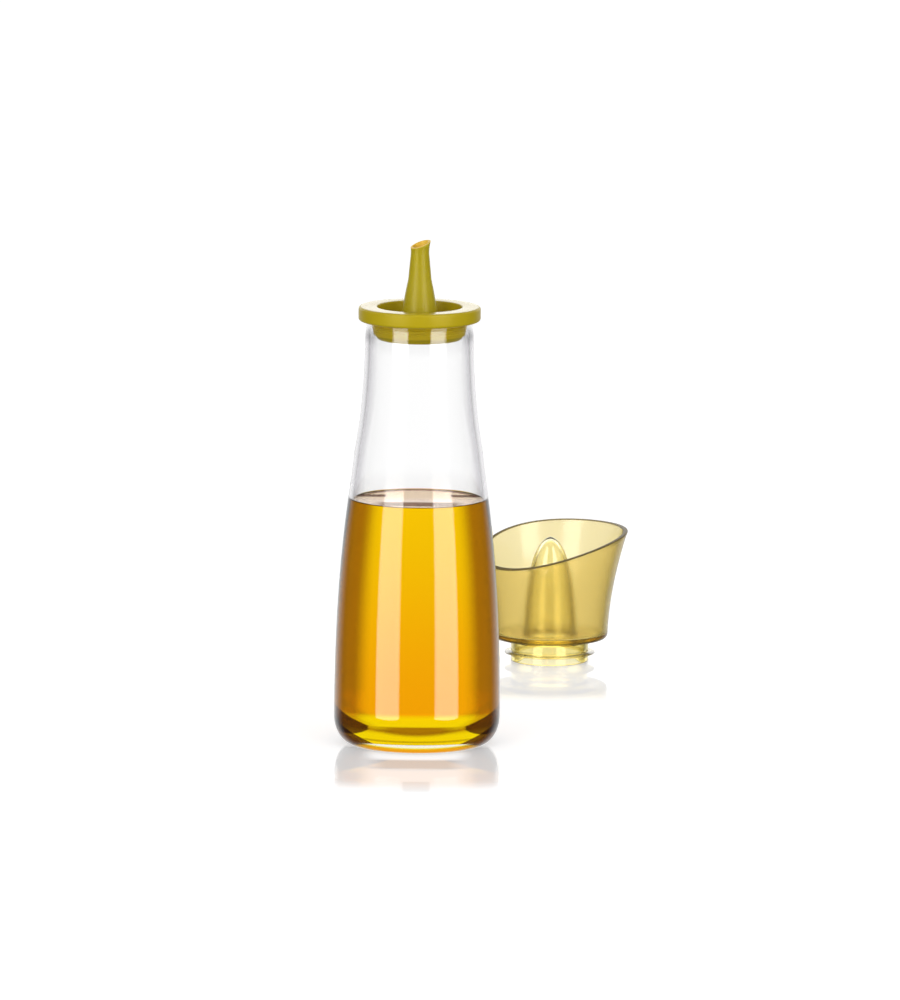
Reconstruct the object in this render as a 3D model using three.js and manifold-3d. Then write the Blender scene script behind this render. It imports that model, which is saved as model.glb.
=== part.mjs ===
// Oil cruet: a glass bottle that swells to its foot, a push-in pourer with a slanted spout,
// and a lift-off cap that stands beside the bottle on its own collar.
// Millimetres, +Z up. The origin is the centre of the bottle's flat foot. +X is to the right of
// the front view and +Y runs away from the viewer.

import * as THREE from 'three';
import { mergeVertices } from 'three/addons/utils/BufferGeometryUtils.js';
import Module from 'manifold-3d';

const wasm = await Module();
wasm.setup();

// Facets
const sides = 40;
const spoutSides = 32;
const curveSteps = 7;
const filletSteps = 2;

// Fits between pieces
const nestingGap = 0.3;
const sealClearance = 0.2;
const collarClearance = 0.33;
const cutOverrun = 1;

// Glass bottle
const bottleHeight = 162.5;
const glassWall = 1.85;
const floorThickness = 4.5;
const bodyRadius = 31.6;
const heelWidth = 7.85;
const heelHeight = 10.8;
const innerHeelWidth = 6.5;
const innerHeelHeight = 8.5;
const shoulderRadius = 24.5;
const shoulderHeight = 111.5;
const neckRadius = 20.55;
const rimRound = 0.45;
// How far each curve keeps its first direction, and how fast the shoulder leans in.
const bodyPullShares = { lower: 0.61, upper: 0.13 };
const neckPullShares = { lower: 0.08, upper: 0.66 };
const shoulderLeanShare = 0.09;

// Oil
const oilHeight = 94;
const meniscusRise = 1.2;
const meniscusWidth = 1.8;

// Pourer: a flat ring on the glass rim with a shallow bowl that hangs in the neck
const ringRadius = 23.2;
const ringThickness = 5.4;
const ringRound = 1;
const bowlWall = 1.1;
const bowlDraft = 0.6;
const bowlFloor = 2.9;
const bowlRound = 2;
const recessDepth = 9.6;
const recessRound = 0.5;

// Seal sleeve round the bowl
const sleeveWall = 0.5;
const ribHeight = 0.5;
const ribPitch = 1.05;
const ribCount = 4;

// Spout, with its heights measured from the bowl's floor
const spoutHeight = 34.95;
const spoutTipRadius = 3.5;
const lipFlare = 0.8;
const lipHeight = 5;
const spoutWaistRadius = 4.42;
const spoutWaistHeight = 20;
const spoutRootRadius = 7.6;
const spoutLowerShares = { fall: 0.22, height: 0.27 };
const spoutUpperShares = { fall: 0.51, height: 0.64 };
const spoutFlangeRadius = 9.6;
const spoutFlangeThickness = 1.2;
const spigotRadius = 7.2;
const spoutWall = 0.85;
const spoutBoreRadius = 6;
const mouthSlope = THREE.MathUtils.degToRad(20.6);
const mouthTurn = THREE.MathUtils.degToRad(28);
const drainHoleShare = 0.28;

// Cap: a flared cup with a slanted mouth, and a hollow cone on a collar inside it
const capRight = 51.5;
const capBack = 199;
const collarFootGap = 0.7;
const collarWall = 1.5;
const collarRound = 0.3;
const coneRadius = 10.7;
const coneHeadroom = 14.65;
const coneWall = 1.4;
const coneFlange = 1.6;
const coneLowerShares = { radius: 0.907, height: 0.482 };
const coneUpperShares = { radius: 0.74, height: 0.952 };
const cupStep = 0.5;
const cupWall = 1.9;
const cupFloor = 2;
const cupRound = 2.2;
const cupInnerRound = 1.5;
const cupBlankRadius = 31.2;
const cupBlankHeight = 45.6;
const cupLowerShares = { flare: 0.06, height: 0.3 };
const cupUpperShares = { flare: 0.39, height: 0.62 };
const mouthHeight = 38.9;
const mouthRise = 7.95;
const mouthBow = 3.7;
const rimTurn = THREE.MathUtils.degToRad(42.5);

// Seal lip in a groove of the collar
const grooveDepth = 0.8;
const grooveHeight = 2.2;
const grooveFootShare = 0.28;
const lipReach = 2.5;
const lipThickness = 0.6;
const lipDroop = 0.3;

const quarterTurn = Math.PI / 2;

// Points of an outline in radius and height, drawn from lines, rounds and curves.
class Outline {
  constructor(radius, height) {
    this.points = [new THREE.Vector2(radius, height)];
  }

  get end() {
    return this.points.at(-1);
  }

  line(radius, height) {
    this.points.push(new THREE.Vector2(radius, height));
    return this;
  }

  // Quarter of an ellipse that leaves towards the corner and arrives from it.
  round(cornerRadius, cornerHeight, radius, height, steps = filletSteps) {
    const start = this.end;
    for (let step = 1; step <= steps; step++) {
      const away = Math.sin(quarterTurn * step / steps);
      const along = 1 - Math.cos(quarterTurn * step / steps);
      this.line(
        start.x + (cornerRadius - start.x) * away + (radius - cornerRadius) * along,
        start.y + (cornerHeight - start.y) * away + (height - cornerHeight) * along,
      );
    }
    return this;
  }

  // Cubic curve from the end of the outline through two pull points.
  curve(pullA, pullB, end, steps = curveSteps) {
    const path = new THREE.CubicBezierCurve(this.end, pullA, pullB, end);
    this.points.push(...path.getPoints(steps).slice(1));
    return this;
  }

  // Part of another outline.
  follow(points) {
    this.points.push(...points.map((point) => point.clone()));
    return this;
  }

  close() {
    return this.line(this.points[0].x, this.points[0].y);
  }
}

// Closed body of a geometry, without the triangles that collapse on the axis.
function solid(geometry) {
  geometry.deleteAttribute('normal');
  geometry.deleteAttribute('uv');
  const merged = mergeVertices(geometry);
  const corners = merged.index.array;
  const kept = [];
  for (let i = 0; i < corners.length; i += 3) {
    const [a, b, c] = corners.subarray(i, i + 3);
    if (a !== b && b !== c && c !== a) {
      kept.push(a, b, c);
    }
  }
  return new wasm.Manifold(new wasm.Mesh({
    numProp: 3,
    vertProperties: merged.attributes.position.array,
    triVerts: Uint32Array.from(kept),
  }));
}

// Body of revolution about +Z. The outline runs anticlockwise, up the outside of the wall.
function turned(outline, count = sides) {
  return solid(new THREE.LatheGeometry(outline.points, count).rotateX(quarterTurn));
}

function named(body, name, colour, roughness, opacity = 1) {
  const { vertProperties, triVerts } = body.getMesh();
  const geometry = new THREE.BufferGeometry();
  geometry.setAttribute('position', new THREE.BufferAttribute(vertProperties, 3));
  geometry.setIndex(new THREE.BufferAttribute(triVerts, 1));
  geometry.computeVertexNormals();
  const material = new THREE.MeshStandardMaterial({
    color: colour,
    roughness,
    metalness: 0,
    opacity,
    transparent: opacity < 1,
  });
  const mesh = new THREE.Mesh(geometry, material);
  mesh.name = name;
  return mesh;
}

const at = (radius, height) => new THREE.Vector2(radius, height);

// Side of the bottle from the top of the heel to the rim, at a depth inside the outer face.
function bottleSide(inset) {
  const bodyRise = shoulderHeight - heelHeight;
  const neckRise = bottleHeight - shoulderHeight;
  const below = bodyRise * bodyPullShares.upper;
  const above = neckRise * neckPullShares.lower;
  return new Outline(bodyRadius - inset, heelHeight)
    .curve(
      at(bodyRadius - inset, heelHeight + bodyRise * bodyPullShares.lower),
      at(shoulderRadius - inset + below * shoulderLeanShare, shoulderHeight - below),
      at(shoulderRadius - inset, shoulderHeight),
    )
    .curve(
      at(shoulderRadius - inset - above * shoulderLeanShare, shoulderHeight + above),
      at(neckRadius - inset, bottleHeight - neckRise * neckPullShares.upper),
      at(neckRadius - inset, bottleHeight),
    )
    .points;
}

// Radius of a side at a height, between its points.
function radiusAt(side, height) {
  const upper = side.findIndex((point) => point.y >= height);
  const high = side[upper];
  const low = side[Math.max(upper - 1, 0)];
  const share = high.y > low.y ? (height - low.y) / (high.y - low.y) : 0;
  return low.x + (high.x - low.x) * share;
}

function glassBottle() {
  const outer = bottleSide(0);
  const inner = bottleSide(glassWall);
  const innerHeelTop = floorThickness + innerHeelHeight;
  const innerFoot = radiusAt(inner, innerHeelTop);
  const bore = neckRadius - glassWall;
  const outline = new Outline(0, 0)
    .line(bodyRadius - heelWidth, 0)
    .round(bodyRadius, 0, bodyRadius, heelHeight, 2 * filletSteps)
    .follow(outer.slice(1, -1))
    .line(neckRadius, bottleHeight - rimRound)
    .round(neckRadius, bottleHeight, neckRadius - rimRound, bottleHeight)
    .line(bore + rimRound, bottleHeight)
    .round(bore, bottleHeight, bore, bottleHeight - rimRound)
    .follow(inner.slice(1, -1).filter((point) => point.y > innerHeelTop).reverse())
    .line(innerFoot, innerHeelTop)
    .round(innerFoot, floorThickness, innerFoot - innerHeelWidth, floorThickness, 2 * filletSteps)
    .line(0, floorThickness);
  return turned(outline);
}

function oilFill() {
  const side = bottleSide(glassWall + nestingGap);
  const floor = floorThickness + nestingGap;
  const heelTop = floor + innerHeelHeight;
  const foot = radiusAt(side, heelTop);
  const edge = radiusAt(side, oilHeight + meniscusRise);
  const outline = new Outline(0, floor)
    .line(foot - innerHeelWidth, floor)
    .round(foot, floor, foot, heelTop, 2 * filletSteps)
    .follow(side.filter((point) => point.y > heelTop && point.y < oilHeight))
    .line(edge, oilHeight + meniscusRise)
    .round(edge, oilHeight, edge - meniscusWidth, oilHeight)
    .line(0, oilHeight);
  return turned(outline);
}

// The sizes of the pourer follow the glass: sleeve in the bore, bowl in the sleeve.
const ribRadius = neckRadius - glassWall - sealClearance;
const sleeveRadius = ribRadius - ribHeight;
const sleeveBore = sleeveRadius - sleeveWall;
const bowlRadius = sleeveBore - nestingGap;
const recessRadius = bowlRadius - bowlWall;
const recessFootRadius = recessRadius - bowlDraft;
const ringTop = bottleHeight + ringThickness;
const recessFloor = ringTop - recessDepth;
const bowlBottom = recessFloor - bowlFloor;
const bowlFootRadius = bowlRadius - bowlDraft;

function pourerBody() {
  const hole = spigotRadius + nestingGap;
  const outline = new Outline(hole, bowlBottom)
    .line(bowlFootRadius - bowlRound, bowlBottom)
    .round(bowlFootRadius, bowlBottom, bowlFootRadius, bowlBottom + bowlRound)
    .line(bowlRadius, bottleHeight)
    .line(ringRadius - ringRound, bottleHeight)
    .round(ringRadius, bottleHeight, ringRadius, bottleHeight + ringRound)
    .line(ringRadius, ringTop - ringRound)
    .round(ringRadius, ringTop, ringRadius - ringRound, ringTop)
    .line(recessRadius + recessRound, ringTop)
    .round(recessRadius, ringTop, recessRadius, ringTop - recessRound)
    .line(recessFootRadius, recessFloor + recessRound)
    .round(recessFootRadius, recessFloor, recessFootRadius - recessRound, recessFloor)
    .line(hole, recessFloor)
    .close();
  return turned(outline).subtract(drainHole());
}

// Hole opposite the pouring side, where drips run back and air gets in.
function drainHole() {
  const ledge = recessFootRadius - spoutFlangeRadius;
  const middle = spoutFlangeRadius + ledge / 2;
  const drill = new THREE.CylinderGeometry(
    ledge * drainHoleShare,
    ledge * drainHoleShare,
    bowlFloor + 2 * cutOverrun,
    spoutSides / 2,
  );
  drill.rotateX(quarterTurn);
  drill.translate(-middle, 0, recessFloor - bowlFloor / 2);
  drill.rotateZ(mouthTurn);
  return solid(drill);
}

function plugSeal() {
  const top = bottleHeight - nestingGap;
  const foot = bowlBottom + bowlRound;
  const lean = bowlDraft / (bottleHeight - foot);
  const sleeve = (height, out) => at(sleeveBore + out - (bottleHeight - height) * lean, height);
  const points = [sleeve(foot, 0), sleeve(foot, sleeveWall)];
  const lowest = top - ribPitch * ribCount;
  for (let rib = 0; rib < ribCount; rib++) {
    const height = lowest + ribPitch * rib;
    const reach = sleeveWall + ribHeight * (rib + 1) / ribCount;
    points.push(
      sleeve(height, sleeveWall),
      sleeve(height + ribPitch / 2, reach),
      sleeve(height + ribPitch * 2 / 3, reach),
    );
  }
  points.push(sleeve(top, sleeveWall), sleeve(top, 0));
  const outline = new Outline(points[0].x, points[0].y)
    .follow(points.slice(1))
    .close();
  return turned(outline);
}

function pourSpout() {
  const tip = recessFloor + spoutHeight;
  const flangeTop = recessFloor + spoutFlangeThickness;
  const waist = recessFloor + spoutWaistHeight;
  const rise = waist - flangeTop;
  const fall = spoutRootRadius - spoutWaistRadius;
  const neck = tip - lipHeight;
  const blankTop = tip + cutOverrun;
  const lipRadius = spoutTipRadius + lipFlare;
  const tipBore = spoutTipRadius - spoutWall;
  const waistBore = spoutWaistRadius - spoutWall;
  const outline = new Outline(spoutBoreRadius, bowlBottom)
    .line(spigotRadius, bowlBottom)
    .line(spigotRadius, recessFloor)
    .line(spoutFlangeRadius, recessFloor)
    .line(spoutFlangeRadius, flangeTop)
    .line(spoutRootRadius, flangeTop)
    .curve(
      at(spoutRootRadius - fall * spoutLowerShares.fall, flangeTop + rise * spoutLowerShares.height),
      at(spoutRootRadius - fall * spoutUpperShares.fall, flangeTop + rise * spoutUpperShares.height),
      at(spoutWaistRadius, waist),
    )
    .line(spoutTipRadius, neck)
    .curve(
      at(spoutTipRadius, neck + lipHeight / 2),
      at(spoutTipRadius + lipFlare / 3, neck + lipHeight * 2 / 3),
      at(lipRadius, blankTop),
      2 * filletSteps,
    )
    .line(lipRadius - spoutWall, blankTop)
    .line(tipBore, neck)
    .line(waistBore, waist)
    .close();
  const cutter = new THREE.BoxGeometry(
    2 * spoutFlangeRadius,
    2 * spoutFlangeRadius,
    spoutFlangeRadius,
  );
  cutter.translate(0, 0, spoutFlangeRadius / 2);
  cutter.rotateY(-mouthSlope);
  cutter.translate(0, 0, tip - Math.tan(mouthSlope) * lipRadius);
  cutter.rotateZ(mouthTurn);
  return turned(outline, spoutSides).subtract(solid(cutter));
}

// The collar of the cap drops into the pourer's recess and stops just above its floor.
const collarRadius = recessFootRadius - collarClearance;
const collarBore = collarRadius - collarWall;
const cupFoot = recessDepth - collarFootGap;
const coneTop = spoutHeight - collarFootGap + coneHeadroom;
const grooveFoot = cupFoot * grooveFootShare;
const grooveTop = grooveFoot + grooveHeight;
const grooveRadius = collarRadius - grooveDepth;

// Ogive from a foot on the flange to the point on the axis.
function ogive(radius, foot, top) {
  const rise = top - foot;
  const lower = at(radius * coneLowerShares.radius, foot + rise * coneLowerShares.height);
  const upper = at(radius * coneUpperShares.radius, foot + rise * coneUpperShares.height);
  return new THREE.CubicBezierCurve(at(radius, foot), lower, upper, at(0, top))
    .getPoints(curveSteps + filletSteps);
}

function capCone() {
  const flangeUnderside = cupFoot - coneFlange;
  const inside = ogive(coneRadius - coneWall, flangeUnderside, coneTop - coneWall).reverse();
  const outline = new Outline(inside[0].x, inside[0].y)
    .follow(inside.slice(1))
    .line(collarBore, flangeUnderside)
    .line(collarBore, collarRound)
    .line(collarBore + collarRound, 0)
    .line(collarRadius - collarRound, 0)
    .line(collarRadius, collarRound)
    .line(collarRadius, grooveFoot)
    .line(grooveRadius, grooveFoot)
    .line(grooveRadius, grooveTop)
    .line(collarRadius, grooveTop)
    .line(collarRadius, cupFoot)
    .follow(ogive(coneRadius, cupFoot, coneTop));
  return turned(outline);
}

function capSeal() {
  const bore = grooveRadius + nestingGap;
  const foot = grooveFoot + nestingGap;
  const top = grooveTop - nestingGap;
  const middle = (foot + top) / 2;
  const tip = collarRadius + lipReach;
  const outline = new Outline(bore, foot)
    .line(collarRadius, foot)
    .line(collarRadius, middle - lipThickness / 2)
    .line(tip, middle - lipThickness / 2 - lipDroop + lipThickness / 3)
    .line(tip, middle - lipDroop + lipThickness / 3)
    .line(collarRadius, middle + lipThickness / 2)
    .line(collarRadius, top)
    .line(bore, top)
    .close();
  return turned(outline);
}

// Side of the cup from above its foot round to the top of the blank.
function cupSide(inset) {
  const foot = ringRadius - cupStep;
  const flare = cupBlankRadius - foot;
  const start = cupFoot + cupRound;
  const rise = cupBlankHeight - cupRound;
  return new Outline(foot - inset, start)
    .curve(
      at(foot - inset + flare * cupLowerShares.flare, start + rise * cupLowerShares.height),
      at(foot - inset + flare * cupUpperShares.flare, start + rise * cupUpperShares.height),
      at(cupBlankRadius - inset, start + rise),
    )
    .points;
}

function capCup() {
  const foot = ringRadius - cupStep;
  const hole = coneRadius + nestingGap;
  const inside = cupSide(cupWall);
  const floor = cupFoot + cupFloor;
  const innerStart = floor + cupInnerRound;
  const innerFoot = radiusAt(inside, innerStart);
  const outline = new Outline(hole, cupFoot)
    .line(foot - cupRound, cupFoot)
    .round(foot, cupFoot, foot, cupFoot + cupRound)
    .follow(cupSide(0).slice(1))
    .follow(inside.filter((point) => point.y > innerStart).reverse())
    .line(innerFoot, innerStart)
    .round(innerFoot, floor, innerFoot - cupInnerRound, floor)
    .line(hole, floor)
    .close();
  return turned(outline).subtract(mouthCutter());
}

// Everything above the cup's mouth, whose edge is slanted and slightly bowed.
function mouthCutter() {
  const half = cupBlankRadius + cutOverrun;
  const middle = cupFoot + mouthHeight;
  const ceiling = cupFoot + cupBlankHeight + mouthRise + cutOverrun;
  const shape = new THREE.Shape();
  shape.moveTo(-half, middle - mouthRise - mouthBow);
  shape.quadraticCurveTo(0, middle + mouthBow, half, middle + mouthRise - mouthBow);
  shape.lineTo(half, ceiling);
  shape.lineTo(-half, ceiling);
  const cutter = new THREE.ExtrudeGeometry(shape, {
    depth: 2 * half,
    bevelEnabled: false,
    curveSegments: 4 * curveSteps,
  });
  cutter.translate(0, 0, -half);
  cutter.rotateX(quarterTurn);
  cutter.rotateZ(rimTurn);
  return solid(cutter);
}

const bottle = new THREE.Group();
bottle.add(named(glassBottle(), 'glass_bottle', '#eef1f0', 0.04, 0.35));
bottle.add(named(oilFill(), 'oil_fill', '#f2ab00', 0.05, 0.8));

const pourer = new THREE.Group();
pourer.add(named(pourerBody(), 'pourer_body', '#b8a31c', 0.38));
pourer.add(named(pourSpout(), 'pour_spout', '#bfac2c', 0.3));
pourer.add(named(plugSeal(), 'plug_seal', '#a08c18', 0.5));

const cap = new THREE.Group();
cap.position.set(capRight, capBack, 0);
cap.add(named(capCup(), 'cap_cup', '#dccb62', 0.35, 0.7));
cap.add(named(capCone(), 'cap_cone', '#e4d36a', 0.12, 0.7));
cap.add(named(capSeal(), 'cap_seal', '#c9b44a', 0.4, 0.8));

const cruet = new THREE.Group();
cruet.add(bottle, pourer, cap);

export default cruet;
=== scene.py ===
import math

import bpy
from mathutils import Matrix


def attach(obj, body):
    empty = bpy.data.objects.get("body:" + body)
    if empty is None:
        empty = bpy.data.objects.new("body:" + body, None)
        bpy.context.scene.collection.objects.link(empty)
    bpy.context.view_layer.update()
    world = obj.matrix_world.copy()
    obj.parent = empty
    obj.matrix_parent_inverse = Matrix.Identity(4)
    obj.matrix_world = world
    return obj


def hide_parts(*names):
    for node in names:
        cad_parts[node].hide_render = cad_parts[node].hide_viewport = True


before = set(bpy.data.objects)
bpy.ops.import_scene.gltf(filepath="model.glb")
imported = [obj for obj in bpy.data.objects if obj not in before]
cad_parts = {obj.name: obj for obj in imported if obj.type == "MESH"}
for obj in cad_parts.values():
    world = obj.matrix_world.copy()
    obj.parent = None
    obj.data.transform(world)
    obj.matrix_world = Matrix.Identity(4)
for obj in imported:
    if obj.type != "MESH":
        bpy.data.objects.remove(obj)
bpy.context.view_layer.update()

# View. A very long lens six and a half metres in front of the cruet looks down at it by nearly
# nine degrees and leans by less than half a degree, so upright edges run almost side by side.
camera_place = (0.01203, -6.46, 1.08336)
camera_lens = 619.2
look_down = math.radians(8.7103)
lean = math.radians(0.4133)
light_bounces = 32
upright = Matrix.Rotation(math.radians(90) - look_down, 3, "X")
leaning = Matrix.Rotation(lean, 3, "Z")
bpy.ops.object.camera_add(location=camera_place, rotation=(upright @ leaning).to_euler())
camera = bpy.context.object
camera.data.lens = camera_lens
bpy.context.scene.camera = camera
bpy.context.scene.view_settings.view_transform = "Standard"
# Light crosses up to a dozen faces of glass, oil and plastic before it leaves.
bpy.context.scene.cycles.max_bounces = light_bounces
bpy.context.scene.cycles.transmission_bounces = light_bounces


# Studio. A white room, two tall soft boxes in front and a panel at the back that show only as
# highlights, and two broad lamps for the opaque pieces. The camera and light that has come
# through glass see the room white. Reflections see its front dark, which draws the glass edges.
class Signal:
    """Output of a node. Sums, products and powers of signals add their own Math nodes."""

    def __init__(self, tree, socket=None):
        self.tree = tree
        self.socket = socket

    def add(self, kind, settings=None, sockets=None, output=0):
        """New node with its settings, then the values or links of its sockets."""
        node = self.tree.nodes.new(kind)
        for name, value in (settings or {}).items():
            setattr(node, name, value)
        for name, value in (sockets or {}).items():
            if isinstance(value, Signal):
                self.tree.links.new(value.socket, node.inputs[name])
            else:
                node.inputs[name].default_value = value
        return Signal(self.tree, node.outputs[output] if node.outputs else None)

    def maths(self, operation, first, second):
        return self.add("ShaderNodeMath", {"operation": operation}, {0: first, 1: second})

    def __add__(self, other):
        return self.maths("ADD", self, other)

    def __radd__(self, other):
        return self.maths("ADD", other, self)

    def __sub__(self, other):
        return self.maths("SUBTRACT", self, other)

    def __rsub__(self, other):
        return self.maths("SUBTRACT", other, self)

    def __mul__(self, other):
        return self.maths("MULTIPLY", self, other)

    def __rmul__(self, other):
        return self.maths("MULTIPLY", other, self)

    def __truediv__(self, other):
        return self.maths("DIVIDE", self, other)

    def __pow__(self, other):
        return self.maths("POWER", self, other)


millimetre = 0.001
white = (1.0, 1.0, 1.0, 1.0)
room_level = 0.5
room_lean = 0.5
lamps_through_glass = 0.6
front_dark = 0.05
# Ends of smooth steps in the direction of a ray: towards the back, upwards and downwards.
behind_reach = (0.55, 0.98)
above_reach = (0.10, 0.17)
below_reach = (-0.65, -0.45)


def ramp(start, value, low, high, low_share=0.0, high_share=1.0):
    """Smooth step from one share to another between two values."""
    return start.add("ShaderNodeMapRange", {"interpolation_type": "SMOOTHSTEP"}, {
        "Value": value, "From Min": low, "From Max": high, "To Min": low_share, "To Max": high_share,
    })


def fade(start, value, low, high, share=1.0):
    """Share that falls smoothly to nothing between two values."""
    return ramp(start, value, low, high, share, 0.0)


def light_path(start, fact):
    """What the light path says of a ray."""
    return start.add("ShaderNodeLightPath", output=fact)


def before_diffuse(start):
    """One until a ray has left a matt surface, then zero."""
    return start.maths("LESS_THAN", light_path(start, "Diffuse Depth"), 0.5)


world = bpy.data.worlds.new("white_room")
bpy.context.scene.world = world
world.use_nodes = True
world.node_tree.nodes.clear()
room = Signal(world.node_tree)
through = light_path(room, "Is Transmission Ray")
seen = room.maths("MAXIMUM", light_path(room, "Is Camera Ray"), light_path(room, "Is Glossy Ray"))
seen = room.maths("MAXIMUM", seen, through) * before_diffuse(room)
reflected = room.maths("MINIMUM", light_path(room, "Glossy Depth"), 1.0)
direction = room.add("ShaderNodeTexCoord", output="Generated")
rearward = room.add("ShaderNodeSeparateXYZ", None, {"Vector": direction}, "Y")
upward = room.add("ShaderNodeSeparateXYZ", None, {"Vector": direction}, "Z")
behind = ramp(room, rearward, *behind_reach, front_dark, 1.0)
above = ramp(room, upward, *above_reach)
from_inside = room.maths("GREATER_THAN", light_path(room, "Transmission Depth"), 1.5)
below = fade(room, upward, *below_reach) * from_inside
mirrored = room.maths("MAXIMUM", room.maths("MAXIMUM", behind, above), below)
seen_level = 1 - reflected * (1 - mirrored)
matt_level = room_level * (1 - room_lean * rearward) * (1 + lamps_through_glass * through)
level = matt_level * (1 - seen) + seen_level * seen
background = room.add("ShaderNodeBackground", None, {"Color": white, "Strength": level})
room.add("ShaderNodeOutputWorld", None, {"Surface": background})

box_distance = 1.6
box_near_turn = math.radians(23)
box_far_turn = math.radians(60.5)
box_foot = -0.25
box_top = 2.6
box_soft_edge = 0.1
box_colour = (1.0, 0.985, 0.97, 1.0)
box_strength = 5.5
panel_back = 3.0
panel_foot = 0.22
panel_top = 1.3
panel_width = 5.0
panel_strength = 2.0


def new_material(name):
    """Empty material, and a start for its nodes."""
    made = bpy.data.materials.new(name)
    made.use_nodes = True
    made.node_tree.nodes.clear()
    return made, Signal(made.node_tree)


def mixed(start, share, first, second):
    """Mix of two shaders."""
    return start.add("ShaderNodeMixShader", None, {0: share, 1: first, 2: second})


def see_through(start):
    """Shader that light passes as if nothing were there."""
    return start.add("ShaderNodeBsdfTransparent")


def glowing(start, strength, colour=white):
    """Shader that gives off light."""
    return start.add("ShaderNodeEmission", None, {"Color": colour, "Strength": strength})


def finished(start, surface):
    """Close a material that has a surface alone."""
    start.add("ShaderNodeOutputMaterial", None, {"Surface": surface})


def hung_screen(name, place, turn, width, height, material):
    """Upright screen that throws no shadow, unseen by the camera and by matt surfaces."""
    bpy.ops.mesh.primitive_plane_add(size=1, location=place, rotation=(math.radians(90), 0, turn))
    screen = bpy.context.object
    screen.name = name
    screen.scale = (width, height, 1)
    screen.data.materials.append(material)
    screen.visible_camera = False
    screen.visible_diffuse = False
    screen.visible_shadow = False
    return screen


box_light, lit = new_material("soft_box_light")
across = lit.add("ShaderNodeTexCoord", output="UV")
across = lit.add("ShaderNodeSeparateXYZ", None, {"Vector": across}, "X")
soft = ramp(lit, lit.maths("MINIMUM", across, 1 - across), 0.0, box_soft_edge)
finished(lit, mixed(
    lit, soft * before_diffuse(lit), see_through(lit), glowing(lit, box_strength, box_colour),
))
half_turn = (box_far_turn - box_near_turn) / 2
reach = box_distance * math.cos(half_turn)
for name, side in (("soft_box_left", -1), ("soft_box_right", 1)):
    turn = side * (box_near_turn + box_far_turn) / 2
    hung_screen(
        name,
        (reach * math.sin(turn), -reach * math.cos(turn), (box_foot + box_top) / 2),
        turn, 2 * box_distance * math.sin(half_turn), box_top - box_foot, box_light,
    )

panel_light, lit = new_material("back_panel_light")
finished(lit, mixed(lit, before_diffuse(lit), see_through(lit), glowing(lit, panel_strength)))
hung_screen(
    "back_panel", (0, panel_back, (panel_foot + panel_top) / 2),
    0, panel_width, panel_top - panel_foot, panel_light,
)

for name, place, size, power in (
    ("key_lamp", (-1.6, -3.6, 1.1), 1.8, 34.0),
    ("fill_lamp", (1.9, -3.3, 0.9), 1.8, 24.0),
):
    bpy.ops.object.light_add(type="AREA", location=place)
    lamp = bpy.context.object
    lamp.name = name
    lamp.data.shape = "DISK"
    lamp.data.size = size
    lamp.data.energy = power
    lamp.rotation_euler = (-lamp.location).to_track_quat("-Z", "Y").to_euler()
    lamp.visible_glossy = False
    lamp.visible_transmission = False

# White card behind the bottle, as photographers set one to light what a bottle holds. Only light
# that has come through the bottle from the front meets it; from behind it is not there.
card_width = 0.36
card_height = 0.078
card_back = 0.11

card_white, paper = new_material("card_white")
turned_round = paper.add("ShaderNodeNewGeometry", output="Backfacing")
finished(paper, mixed(paper, turned_round, glowing(paper, 1.0), see_through(paper)))
card = hung_screen(
    "white_card", (0, card_back, card_height / 2), 0, card_width, card_height, card_white,
)
card.visible_glossy = False

# Floor. Polished white sheet: it keeps soft shadows, and mirrors the cap all round but the bottle
# only in front, within its outline. In the mirrored bottle the mirror is weakened into a painted glow
# down its middle and by the foot, and two faint painted shades are taken off the floor's light. It
# lets glossy rays through to the room, which they see as white.
floor_size = 24
floor_colour = (0.86, 0.86, 0.86, 1.0)
floor_lift = 0.6
lift_under_mirror = 0.3
mirror_roughness = 0.02
cap_right = 51.5
cap_back = 199
# Shares of mirror and shade, and the ends of their smooth steps over the floor, in metres from
# the middle of the bottle's foot or of the cap's.
bottle_mirror = 0.36
bottle_mirror_start = (0.004, 0.012)
bottle_mirror_end = (0.086, 0.116)
bottle_mirror_side = (0.0308, 0.0320)
heel_reach = 0.0705
heel_narrowing = 0.00785
# Painted glow: the mirror weakens down the middle of the mirrored bottle and by its foot, so the lit
# floor shows through lighter.
middle_glow = 0.35
middle_glow_side = (0.014, 0.024)
foot_glow = 0.8
foot_glow_end = (0.034, 0.044)
foot_glow_side = (0.014, 0.022)
cap_mirror = 0.22
cap_mirror_end = (0.08, 0.105)
# Painted shade: two faint dark patches taken off the floor's light under the mirrored bottle.
foot_shade = 0.34
foot_shade_start = (0.0375, 0.0415)
foot_shade_end = (0.0560, 0.0630)
foot_shade_side = (0.011, 0.021)
patch_shade = 0.16
patch_shade_start = (0.087, 0.090)
patch_shade_end = (0.108, 0.116)
patch_shade_side = (0.0048, 0.0056)

bpy.ops.mesh.primitive_plane_add(size=floor_size, location=(0, 0, 0))
floor = bpy.context.object
floor.name = "floor"


def band(start, value, rise, fall):
    """One between a smooth rise and a smooth fall, each given by its two ends."""
    return ramp(start, value, *rise) * fade(start, value, *fall)


def coordinate(start, axis):
    """Object coordinate along an axis."""
    place = start.add("ShaderNodeTexCoord", output="Object")
    return start.add("ShaderNodeSeparateXYZ", None, {"Vector": place}, axis)


def beside_axis(start):
    """Distance to the left or right of the bottle's axis."""
    return start.maths("ABSOLUTE", coordinate(start, "X"), 0.0)


def before_axis(start):
    """Distance in front of the bottle's axis."""
    return 0.0 - coordinate(start, "Y")


def away_from(start, right, back):
    """Distance of a place on the floor from a foot."""
    place = start.add("ShaderNodeTexCoord", output="Object")
    return start.add("ShaderNodeVectorMath", {"operation": "DISTANCE"}, {
        0: place, 1: (right, back, 0.0),
    }, "Value")


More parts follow.
